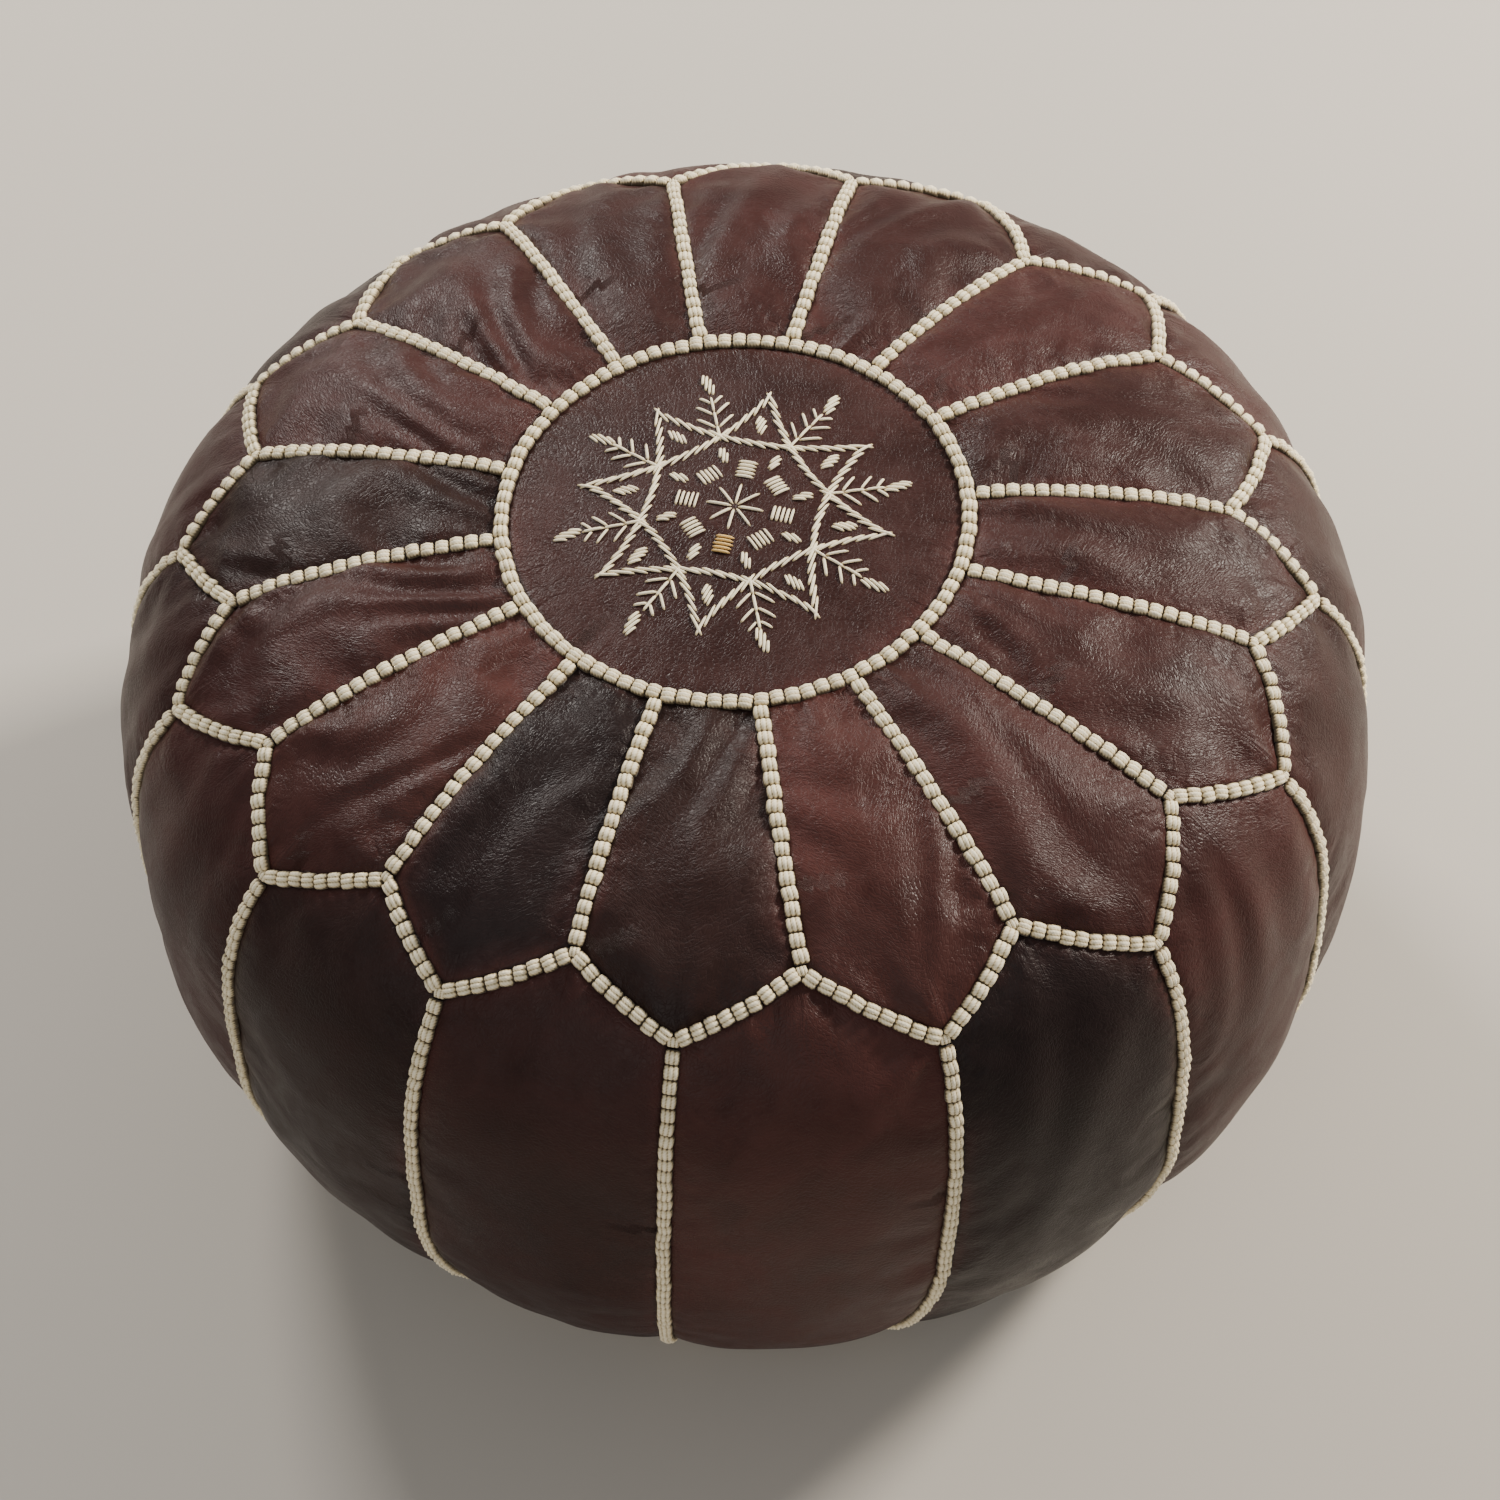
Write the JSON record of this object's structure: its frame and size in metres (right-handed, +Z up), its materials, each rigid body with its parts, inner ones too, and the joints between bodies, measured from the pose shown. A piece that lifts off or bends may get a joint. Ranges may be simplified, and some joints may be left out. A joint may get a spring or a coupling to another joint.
{
  "type": "moroccan leather pouf",
  "caption": "Round stuffed leather pouf: petal and side panels round an embroidered medallion, braided seams, zip in the base.",
  "frame": {"origin": "centre of the base, on the surface that the pouf stands on", "axes": "+Z up through the centre of the medallion; +Y along the zip in the base, towards the end where the slider rests closed"},
  "size_m": [0.5541, 0.5552, 0.3319],
  "materials": {
    "cover_leather": "satin",
    "cream_thread": "matte",
    "wadding": "matte",
    "zip_tape": "matte",
    "zip_metal": "satin"
  },
  "bodies": {
    "pouf": {"top_medallion": "cover_leather", "petal_01": "cover_leather", "petal_02": "cover_leather", "petal_03": "cover_leather", "petal_04": "cover_leather", "petal_05": "cover_leather", "petal_06": "cover_leather", "petal_07": "cover_leather", "petal_08": "cover_leather", "petal_09": "cover_leather", "petal_10": "cover_leather", "petal_11": "cover_leather", "petal_12": "cover_leather", "petal_13": "cover_leather", "petal_14": "cover_leather", "petal_15": "cover_leather", "petal_16": "cover_leather", "side_panel_01": "cover_leather", "side_panel_02": "cover_leather", "side_panel_03": "cover_leather", "side_panel_04": "cover_leather", "side_panel_05": "cover_leather", "side_panel_06": "cover_leather", "side_panel_07": "cover_leather", "side_panel_08": "cover_leather", "side_panel_09": "cover_leather", "side_panel_10": "cover_leather", "side_panel_11": "cover_leather", "side_panel_12": "cover_leather", "side_panel_13": "cover_leather", "side_panel_14": "cover_leather", "side_panel_15": "cover_leather", "side_panel_16": "cover_leather", "base_panel_left": "cover_leather", "base_panel_right": "cover_leather", "star_embroidery": "cream_thread", "medallion_braid": "cream_thread", "zigzag_and_side_braid": "cream_thread", "base_braid": "cream_thread", "petal_seam_braid_01": "cream_thread", "petal_seam_braid_02": "cream_thread", "petal_seam_braid_03": "cream_thread", "petal_seam_braid_04": "cream_thread", "petal_seam_braid_05": "cream_thread", "petal_seam_braid_06": "cream_thread", "petal_seam_braid_07": "cream_thread", "petal_seam_braid_08": "cream_thread", "petal_seam_braid_09": "cream_thread", "petal_seam_braid_10": "cream_thread", "petal_seam_braid_11": "cream_thread", "petal_seam_braid_12": "cream_thread", "petal_seam_braid_13": "cream_thread", "petal_seam_braid_14": "cream_thread", "petal_seam_braid_15": "cream_thread", "petal_seam_braid_16": "cream_thread", "filling": "wadding", "zip_tape_left": "zip_tape", "zip_tape_right": "zip_tape"},
    "zip_slider": {"zip_slider": "zip_metal"},
    "zip_pull": {"zip_pull_tab": "zip_metal"}
  },
  "joints": [
    {"name": "zip_slide", "type": "slide", "parent": "pouf", "child": "zip_slider", "axis": [0, -1, 0], "range_m": [0, 0.26]},
    {"name": "pull_tab_hinge", "type": "hinge", "parent": "zip_slider", "child": "zip_pull", "pos_m": [0, 0.135, 0.0043], "axis": [1, 0, 0], "range_deg": [0, 180]}
  ]
}
